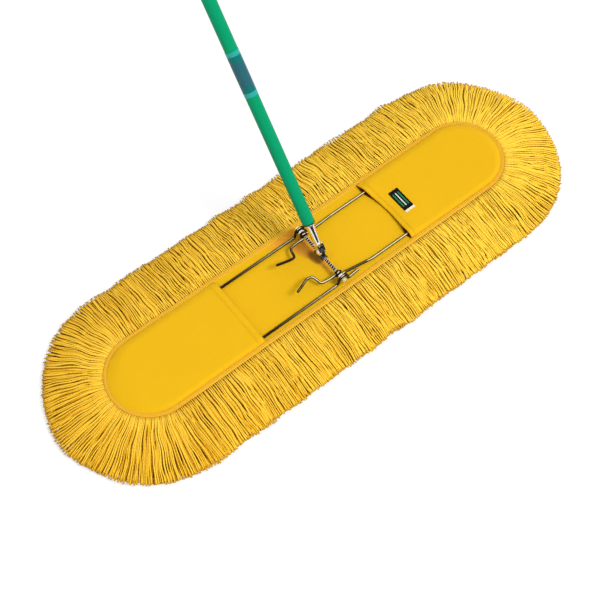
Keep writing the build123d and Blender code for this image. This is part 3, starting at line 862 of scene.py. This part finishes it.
class MOP_OT_pockets(bpy.types.Operator):
    """Adds the two pockets that hold the frame's ends, with their hems"""

    bl_idname = "mop.pockets"
    bl_label = "Pockets"

    grid = (26, 61)
    # The hem: its middle's distance from the mouth, half its width and its height, and its stitches.
    hem_middle, hem_half, hem_height = 6 * MM, 6.5 * MM, 0.35 * MM
    stitch_insets, stitch_margin = (10.5 * MM, 13 * MM), 4 * MM
    stitch_pitch, stitch_radius, stitch_height = 3.6 * MM, 0.4 * MM, 0.15 * MM

    def execute(self, context):
        head = context.scene.mop_head
        weave = cloth_finish("pocket_weave", head.canvas_colour, head.thread_pitch)
        thread = thread_finish("hem_thread", tinted(head.canvas_colour, 0.9))
        radius = POCKET_EDGE
        for side, mouth, end, opened in (
            ("left", POCKET_LEFT[1].x, LEFT_CENTRE - radius, 0),
            ("right", POCKET_RIGHT[0].x, RIGHT_CENTRE + radius, 1),
        ):
            shape = opened * head.mouth_scoop, opened * head.mouth_skew
            x, y = head_grid(*self.grid, radius, *((mouth, None) if opened else (None, mouth)))
            hem = np.clip(1 - abs(np.abs(x - mouth) - self.hem_middle) / self.hem_half, 0, 1)
            z = pocket_top(x, y, head, opened) + self.hem_height * np.sqrt(hem)
            pocket = add_cloth(f"pocket_cloth_{side}", drawn_back(x, y, mouth, *shape), y, z, weave,
                               head.pocket_thickness)
            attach(pocket, f"{side}_half")
            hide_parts(f"pocket_{side}")
            rows = []
            for inset in self.stitch_insets:
                reach = radius - self.stitch_margin
                along = MIDDLE_Y + np.linspace(-reach, reach, 160)
                place = np.full(len(along), mouth + math.copysign(inset, end - mouth))
                height = pocket_top(place, along, head, opened) + self.stitch_height
                place = drawn_back(place, along, mouth, *shape)
                rows.append(sewn_pairs(np.column_stack([place, along, height]), self.stitch_pitch))
            stitches = stitch_row(f"hem_stitches_{side}", np.concatenate(rows), self.stitch_radius, thread)
            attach(stitches, f"{side}_half")
        return {"FINISHED"}


class MOP_OT_label(bpy.types.Operator):
    """Adds the woven label on the right pocket and the pale tab beside it"""

    bl_idname = "mop.label"
    bl_label = "Label"

    # Height of a patch over the pocket, its thickness, and the label's bars and line as shares of its size.
    seat, thickness = 0.8 * MM, 0.6 * MM
    pucker_height, pucker_reach = 0.25 * MM, 1.2 * MM
    bar_inner, bar_outer, line_half, mark_half = 0.2, 0.33, 0.045, 0.34

    def execute(self, context):
        head = context.scene.mop_head
        tab_finish = cloth_finish("tab_weave", head.tab_colour, 0.5 * MM)
        tab = self.patch("label_end_tab", "label_tab", head, tab_finish, "label_tab_cloth")
        label = self.patch("woven_label", "label", head, self.label_finish(head), "label_cloth")
        return {"FINISHED"}

    def patch(self, name, node, head, finish, slot):
        """A flat patch laid on the pocket's outer face, its edges puckered a little where they are sewn."""
        low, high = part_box(node)
        x, y = np.meshgrid(np.linspace(low.x, high.x, 25), np.linspace(low.y, high.y, 33), indexing="ij")
        edge = np.minimum(np.minimum(x - low.x, high.x - x), np.minimum(y - low.y, high.y - y))
        pucker = self.pucker_height * np.exp(-edge / self.pucker_reach) * np.sin(x * 900 + y * 700)
        z = pocket_top(x, y, head, 1) + self.seat + pucker
        patch = add_cloth(name, x, y, z, finish, self.thickness)
        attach(patch, "right_half")
        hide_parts(node)
        return patch

    def label_finish(self, head):
        """Black satin weave with two plain bars and a fine line, laid out from the label's own box."""
        low, high = LABEL
        finish = Finish("label_weave", Specular_IOR_Level=0.12)
        x, y = finish.axes(finish.place(), 2)
        along = abs((y - low.y) / (high.y - low.y) - 0.5)
        across = abs((x - low.x) / (high.x - low.x) - 0.5)
        bar = (across > self.bar_inner) * (across < self.bar_outer) * (along < self.mark_half)
        line = (across < self.line_half) * (along < self.mark_half)
        colour = finish.mix(bar, head.label_ground, head.label_mark)
        finish.put("Base Color", finish.mix(line, colour, head.label_line))
        weave = woven_height(x, y, 0.35 * MM)
        finish.put("Roughness", 0.55 + weave * 0.2)
        finish.bump(weave, 0.08 * MM)
        return finish.material


class MOP_OT_yarn(bpy.types.Operator):
    """Adds the fringe in layers of strands, the rows under the backing and the core of the pile"""

    bl_idname = "mop.yarn"
    bl_label = "Yarn"

    # Height where a layer leaves the binding, its rise, and its height at the tips, in millimetres.
    layers = ((31.2, 2.6, 9.2), (29.9, 2.6, 7.9), (27.8, 2.4, 6.2), (21.0, 2.0, 4.2), (11.0, 1.0, 2.4))
    # How much closer strands stand round the ends, how far their roots lie inside the backing's edge, and how
    # much more painted shade each layer has than the one over it, taken off how far it faces up.
    crowding, root_inset, layer_shade = 1.65, 1.5 * MM, 0.22
    # Points along a strand and a tuft, and round them.
    strand_points, strand_sides = 12, 6
    tuft_points, tuft_sides = 7, 4
    fringe_seed, tuft_seed = 400, 77
    # Slow drifts that neighbours share: their wavelengths along the rim, waves along a strand, and size.
    drifts = {
        "reach": ((60 * MM, 150 * MM), (0, 0), 2.0 * MM),
        "sway": ((120 * MM, 320 * MM), (0.1, 0.5), 2.3 * MM),
        "curl": ((50 * MM, 130 * MM), (1.0, 2.3), 1.0 * MM),
        "lift": ((8 * MM, 20 * MM), (0.2, 1.0), 0.55 * MM),
        "tuft": ((20 * MM, 90 * MM), (0.2, 0.8), 2.0 * MM),
    }

    def execute(self, context):
        yarn = context.scene.mop_yarn
        finish = yarn_finish(yarn)
        self.core(yarn)
        for number, layer in enumerate(self.layers, 1):
            strands = self.fringe(yarn, number, layer, finish)
            if number == 1:
                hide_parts("yarn_left", "yarn_right")
        self.underside(yarn, finish)
        return {"FINISHED"}

    def core(self, yarn):
        """The pile's depth, painted dark as shade: a closed ring under the backing and the fringe."""
        rim, tips = HALF_WIDTH, HALF_WIDTH + yarn.length
        profile = np.array([(20 * MM, 10 * MM), (20 * MM, 28.5 * MM), (rim - 2 * MM, 28.5 * MM),
                            (rim + 20 * MM, 24 * MM), (tips - 45 * MM, 12 * MM), (tips - 16 * MM, 4.5 * MM),
                            (tips - 18 * MM, 2.5 * MM), (rim, 5 * MM)])
        points, groups = rim_ring(profile, 6 * MM)
        finish = Finish("yarn_depth_shade", Specular_IOR_Level=0.05, Roughness=0.95)
        point = finish.place()
        finish.shaded(finish.noise(point, 260.0, 3.0), yarn.pile_shade_colour, 0.6, 1.4)
        core = add_piece("yarn_core", points, groups, finish.material)
        bend_at_fold(core)

    def strands(self, name, paths, radii, sides, tone, share, finish, shade=0.0):
        """Strands along paths, with their tone, the share of their length and how far they face up - painted
        shade.
        """
        points, groups, uv = bars(paths, radii, sides)
        values = {key: np.repeat(np.broadcast_to(value, paths.shape[:2]).ravel(), sides)
                  for key, value in (("tone", tone), ("along", share))}
        values["crest"] = crest(points, paths, sides) - shade
        strands = add_piece(name, points, groups, finish, uv, values)
        bend_at_fold(strands)
        return strands

    def roots(self, rng, radius, spacing):
        """Lengths along the rim where strands leave it: closer round the ends, each moved a little."""
        arc = math.pi * radius
        marks = np.linspace(0, rim_length(radius), 4000)
        at_end = ((marks > STRAIGHT) & (marks < STRAIGHT + arc)) | (marks > 2 * STRAIGHT + arc)
        crowd = np.cumsum(np.where(at_end, self.crowding, 1.0))
        crowd = (crowd - crowd[0]) / (crowd[-1] - crowd[0])
        count = round((2 * STRAIGHT + self.crowding * 2 * arc) / spacing)
        order = (np.arange(count) + 0.5 + rng.uniform(-0.22, 0.22, count)) / count
        return np.interp(order, crowd, marks)[:, None]

    def fringe(self, yarn, number, layer, finish):
        """One layer of strands that leave the rim side by side, sway together and draw into bunches.

        A strand's point is middle + way out x (rim + length x share) + way along x (sway + curl + pull). Its
        height follows a cubic curve from the rim over a rise and down to the tips. It is held at its root and
        grows free over the first quarter of its length.
        """
        rng = np.random.default_rng(self.fringe_seed + number)
        root_height, rise, tip_height = (value * MM for value in layer)
        radius = HALF_WIDTH - self.root_inset
        root = self.roots(rng, radius, yarn.spacing)
        count, period = len(root), rim_length(radius)

        share = np.linspace(0, 1, self.strand_points)[None]
        middle, out = rim_place(root, radius)
        way = np.stack([-out[..., 1], out[..., 0]], -1)
        reach = yarn.length + self.root_inset + waves(rng, root, 0.0, period, *self.drifts["reach"])
        reach = reach - 4.0 * MM + rng.normal(0, 1.0 * MM, root.shape) - (number - 1) * 0.6 * MM
        distance = radius + reach * share

        ends = np.cumsum(rng.integers(1, yarn.bunch + 1, count))
        bunch = np.searchsorted(ends, np.arange(count), side="right")
        centres = np.bincount(bunch, root[:, 0]) / np.maximum(np.bincount(bunch), 1)
        spread = np.where(np.abs(out[..., 0]) > 1e-6, distance / radius, 1.0)
        free = np.clip((share - 0.01) / 0.22, 0, 1)
        free = free * free * (3 - 2 * free)
        drawn = (centres[bunch][:, None] - root) * yarn.pull * free * (1.25 - 0.75 * share)
        drawn = drawn * rng.uniform(0.7, 1.25, root.shape)
        sway = waves(rng, root, share, period, *self.drifts["sway"])
        curl = waves(rng, root, share, period, *self.drifts["curl"])
        frizz = rng.normal(0, 0.50 * MM, root.shape) * np.sin(
            2 * math.pi * (share * rng.uniform(0.8, 2.2, root.shape) + rng.uniform(0, 1, root.shape)))
        sideways = sway * free * share**0.5 + (curl + frizz) * free + drawn * spread

        rest, shoulder = 1 - share, root_height * 0.72 + tip_height * 0.25
        height = (rest**3 * root_height + 3 * rest**2 * share * (root_height + rise)
                  + 3 * rest * share**2 * shoulder + share**3 * tip_height)
        lift = waves(rng, root, share, period, *self.drifts["lift"])
        height = height + (lift + rng.normal(0, 0.55 * MM, root.shape)) * free
        height = np.maximum(height, yarn.strand * 0.68)

        flat = out * distance[..., None] + way * sideways[..., None]
        paths = np.concatenate([flat, height[..., None]], -1)
        paths[..., 0] += middle
        paths[..., 1] += MIDDLE_Y
        swell = yarn.strand / 2 * np.interp(share, [0, 0.1, 0.9, 1], [0.85, 1.0, 1.0, 1.12])
        swell = swell * rng.uniform(0.85, 1.12, root.shape)
        faded = np.clip((middle + out[..., 0] * radius) / RIGHT_CENTRE, -1, 1) * yarn.fade
        tone = np.clip(rng.beta(4.0, 3.2, (count, 1)) + faded, 0, 1)
        return self.strands(f"yarn_fringe_{number}", paths, swell, self.strand_sides, tone, share, finish,
                            self.layer_shade * (number - 1))

    def underside(self, yarn, finish):
        """Tufts sewn in rows under the backing, each falling to the floor and lying outwards."""
        rng = np.random.default_rng(self.tuft_seed)
        share = np.linspace(0, 1, self.tuft_points)[None]
        paths = []
        for row in np.linspace(-0.8, 0.8, 7):
            x = np.arange(LEFT_CENTRE - 60 * MM, RIGHT_CENTRE + 60 * MM, yarn.spacing)[:, None]
            x = x + rng.normal(0, 0.5 * MM, x.shape)
            y = MIDDLE_Y + row * np.sqrt(HALF_WIDTH**2 - past_ends(x) ** 2)
            side = np.where(row < 0, -1.0, 1.0) if row else rng.choice((-1.0, 1.0), x.shape)
            fall = 27 * MM - (23 * MM) * np.minimum(share * 2.2, 1) ** 0.7
            fall = fall + rng.normal(0, 0.7 * MM, x.shape) * share
            lie = side * 42 * MM * np.maximum(share - 0.12, 0) ** 1.1
            drift = waves(rng, x, share, 1.0, *self.drifts["tuft"]) * share
            flat = np.broadcast_arrays(x + drift, y + lie, np.maximum(fall, yarn.strand * 0.6))
            paths.append(np.stack(flat, -1))
        paths = np.concatenate(paths)
        tone = np.clip(rng.beta(2, 2, len(paths)), 0, 1)[:, None]
        self.strands("yarn_underside", paths, yarn.strand / 2, self.tuft_sides, tone, share, finish)


class MOP_OT_frame(bpy.types.Operator):
    """Adds the bent wires of the frame and its springs, and finishes the axle's parts"""

    bl_idname = "mop.frame"
    bl_label = "Wire frame"

    # Corners of the wires on the far side, in millimetres, and the radii of their bends.
    left_route = ((40, 61.2, 36), (9.4, 63.6, 36), (9.4, 63.6, 57.9), (-9.4, 63.6, 57.9), (-9.4, 63.6, 36),
                  (-404, 63.6, 36))
    left_bends = (7, 9.35, 9.35, 7, 44)
    end_route = ((298, 59.6, 36), (404, 59.6, 36))
    end_bends = (44,)
    arm_route = ((298, 59.6, 36), (74, 59.6, 36), (12, 53.6, 43.42), (0, 53.6, 43.42))
    arm_bends = (40, 25)
    lever_route = ((0, 48.1, 43.42), (-18, 48.1, 43.42), (-36, 46.1, 44.82), (-41, 25, 46.62),
                   (-53, 25, 49.42))
    lever_bends = (7, 7, 7, 7)
    lever_tips = {"near": (-86, 39, 57.22), "far": (-82, 28.5, 57.22)}
    eye_radius = 5.08
    # The ferrule's socket, as distances from the rivet along the handle and radii, in millimetres.
    socket_profile = ((13.0, 2.5), (13.4, 4.6), (14.6, 6.0), (17.0, 6.7), (22.0, 7.1), (30.0, 7.4),
                      (40.0, 7.9), (50.0, 8.4), (58.0, 8.7), (60.8, 8.7), (61.6, 8.4), (61.9, 7.4))
    # Where each wire is dark all over and where it is lighter with a painted highlight on top, in millimetres
    # along the head, where the near arm is dull as it climbs, and the way that the wires' painted highlights
    # face.
    wire_shade_spans = {"left": (-172, 80), "near": (-400, -300), "far": (-55, -5)}
    climbed = (8, 66)
    highlight_way = unit(np.array((-0.12, -0.30, 0.95)))
    # Points round a wire, the socket and a spring, and how far a lever is pressed in.
    wire_sides, socket_sides, spring_sides = 20, 40, 8
    lever_travel = 9 * MM

    def execute(self, context):
        settings = context.scene.mop_frame
        climb = [place * MM for place in self.climbed]
        left, near, far = (
            metal_finish(f"{part}_wire_plate", settings.wire_colour, 0.2, 0.12, settings.wire_shade_colour,
                         [place * MM for place in places], climb if part == "near" else None)
            for part, places in self.wire_shade_spans.items())
        plated = metal_finish("bright_plate", settings.plated_colour, 0.10, 0.06)
        sprung = metal_finish("spring_plate", settings.spring_colour, 0.30)
        for name, route, bends, wire, body, node in (
            ("frame_wire_left", self.left_route, self.left_bends, left, "left_half", "left_wire"),
            ("frame_wire_right_end", self.end_route, self.end_bends, near, "right_half", "right_wire_end"),
        ):
            self.wire_piece(settings, name, self.both_sides(route, bends), wire, body, node)
        for side, sign, wire in (("near", -1, near), ("far", 1, far)):
            path = self.arm_path(self.lever_tips[side]) * np.array([1, sign, 1])
            self.wire_piece(settings, f"finger_lever_{side}", path, wire, f"lever_{side}",
                            f"right_arm_{side}")
            self.spring(settings, side, sign, sprung)
        for node, name, colour, roughness in (
            ("axle_nuts", "nut_plate", settings.wire_colour, 0.25),
            ("swivel_block", "cast_block", settings.block_colour, 0.14),
            # The axle is near black.
            ("axle", "dark_axle", settings.axle_colour, 0.34),
        ):
            dress(node, metal_finish(name, colour, roughness))
        for node in ("axle_collars", "block_washers", "lever_washer_near", "lever_washer_far",
                     "fork_ferrule", "fork_rivet", "rivet_washers"):
            dress(node, plated)
        self.ferrule_socket(plated)
        return {"FINISHED"}

    def both_sides(self, route, bends):
        """A route and its mirror image across the head, joined at the end of the frame."""
        far = np.array(route, float) * MM
        near = (far * np.array([1, -1, 1]))[::-1]
        return bent(np.concatenate([far, near]), np.array(bends + bends[::-1]) * MM)

    def arm_path(self, tip):
        """An arm on the far side: its ramp, one turn round the axle at a steady pitch, and its lever."""
        arm = bent(np.array(self.arm_route) * MM, np.array(self.arm_bends) * MM)
        lever = bent(np.array(self.lever_route + (tip,)) * MM, np.array(self.lever_bends) * MM)
        turn = np.linspace(0, 2 * math.pi, 49)[1:-1]
        radius = self.eye_radius * MM
        across = np.interp(turn, [0, 2 * math.pi], [arm[-1, 1], lever[0, 1]])
        eye = np.column_stack([-radius * np.sin(turn), across, AXLE_HEIGHT - radius * np.cos(turn)])
        return np.concatenate([arm, eye, lever])

    def wire_piece(self, settings, name, path, material, body, node):
        """A round-tipped wire along a path, with how far each point faces the way of the painted highlight.
        """
        path, radii = round_tipped(path, settings.wire / 2)
        points, groups, uv = bars(path[None], radii[None], self.wire_sides, (1.0, 1.0, 1.0))
        facing = crest(points, path, self.wire_sides, self.highlight_way)
        piece = add_piece(name, points, groups, material, uv, {"crest": facing})
        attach(piece, body)
        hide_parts(node)

    def ferrule_socket(self, material):
        """The ferrule's swelled socket between fork and handle: a bar with a tapered radius."""
        place, radius = (np.array(column) * MM for column in zip(*self.socket_profile))
        path = np.array([0, 0, RIVET_HEIGHT]) + place[:, None] * np.array(HANDLE_WAY)
        points, groups, uv = bars(path[None], radius[None], self.socket_sides, (1.0, 0, 0))
        socket = add_piece("ferrule_socket", points, groups, material, uv,
                           sharp=math.radians(40))
        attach(socket, "handle")

    def spring(self, settings, side, sign, material):
        """A compression spring: radius and turn steady, its pitch slow at both ends so that they close up."""
        low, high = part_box(f"spring_{side}")
        inner, outer = sorted((abs(low.y), abs(high.y)))
        thin = settings.spring_wire / 2
        radius = (high.x - low.x) / 2 - thin
        share = np.linspace(0, 1, 240)
        turn = 2 * math.pi * settings.spring_turns * share
        pitch = np.interp(share, [0, 0.1, 0.9, 1], [0.0, 0.045, 0.955, 1.0])
        along = inner + thin + pitch * (outer - inner - settings.spring_wire)
        path = np.column_stack([radius * np.cos(turn), sign * along, AXLE_HEIGHT + radius * np.sin(turn)])
        points, groups, uv = bars(path[None], thin, self.spring_sides, (0, 1.0, 0))
        piece = add_piece(f"spring_coil_{side}", points, groups, material, uv)
        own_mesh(piece)
        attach(piece, "left_half")
        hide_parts(f"spring_{side}")


class MOP_OT_handle(bpy.types.Operator):
    """Finishes the handle's tubes, plug, coupling, grip and cap"""

    bl_idname = "mop.handle"
    bl_label = "Handle"

    def execute(self, context):
        handle = context.scene.mop_handle
        paint = painted_finish("green_paint", handle.paint_colour)
        plug = moulded_finish("plug_plastic", handle.plug_colour, 0.45)
        finishes = {
            "handle_lower_tube": paint,
            "handle_upper_tube": paint,
            "handle_end_plug": plug,
            "handle_end_cap": plug,
            "coupling_sleeve": moulded_finish("sleeve_plastic", handle.sleeve_colour, 0.35),
            "coupling_spigot": metal_finish("spigot_steel", context.scene.mop_frame.plated_colour, 0.35),
            "handle_grip": moulded_finish("grip_rubber", handle.grip_colour, 0.7, 500.0),
        }
        for node, sign in (("coupling_ring_lower", -1), ("coupling_ring_upper", 1)):
            finishes[node] = ring_finish(f"{node}_plastic", node, sign, handle)
        for node, material in finishes.items():
            dress(node, material)
        return {"FINISHED"}


OPERATORS = (MOP_OT_stage, MOP_OT_yarn, MOP_OT_canvas, MOP_OT_pockets, MOP_OT_label, MOP_OT_frame,
             MOP_OT_handle)
SETTINGS = {
    "mop_head": HeadSettings,
    "mop_yarn": YarnSettings,
    "mop_frame": FrameSettings,
    "mop_handle": HandleSettings,
    "mop_stage": StageSettings,
}


class MOP_PT_panel(bpy.types.Panel):
    """Lists the mop's pieces and their settings"""

    bl_idname = "MOP_PT_panel"
    bl_label = "Yarn dust mop"
    bl_space_type = "VIEW_3D"
    bl_region_type = "UI"
    bl_category = "Mop"

    def draw(self, context):
        for operator in OPERATORS:
            self.layout.operator(operator.bl_idname)
        for name, group in SETTINGS.items():
            box = self.layout.box()
            box.label(text=group.__doc__)
            for key in group.__annotations__:
                box.prop(getattr(context.scene, name), key)


def register():
    """Adds the settings, the operators and the panel to Blender."""
    for name, group in SETTINGS.items():
        bpy.utils.register_class(group)
        setattr(bpy.types.Scene, name, bpy.props.PointerProperty(type=group))
    for made in (*OPERATORS, MOP_PT_panel):
        bpy.utils.register_class(made)


def unregister():
    """Takes the panel, the operators and the settings out again."""
    for made in (MOP_PT_panel, *reversed(OPERATORS)):
        bpy.utils.unregister_class(made)
    for name, group in reversed(SETTINGS.items()):
        delattr(bpy.types.Scene, name)
        bpy.utils.unregister_class(group)


def main():
    """Builds every piece."""
    register()
    for operator in OPERATORS:
        family, name = operator.bl_idname.split(".")
        getattr(getattr(bpy.ops, family), name)()


if __name__ == "__main__":
    main()
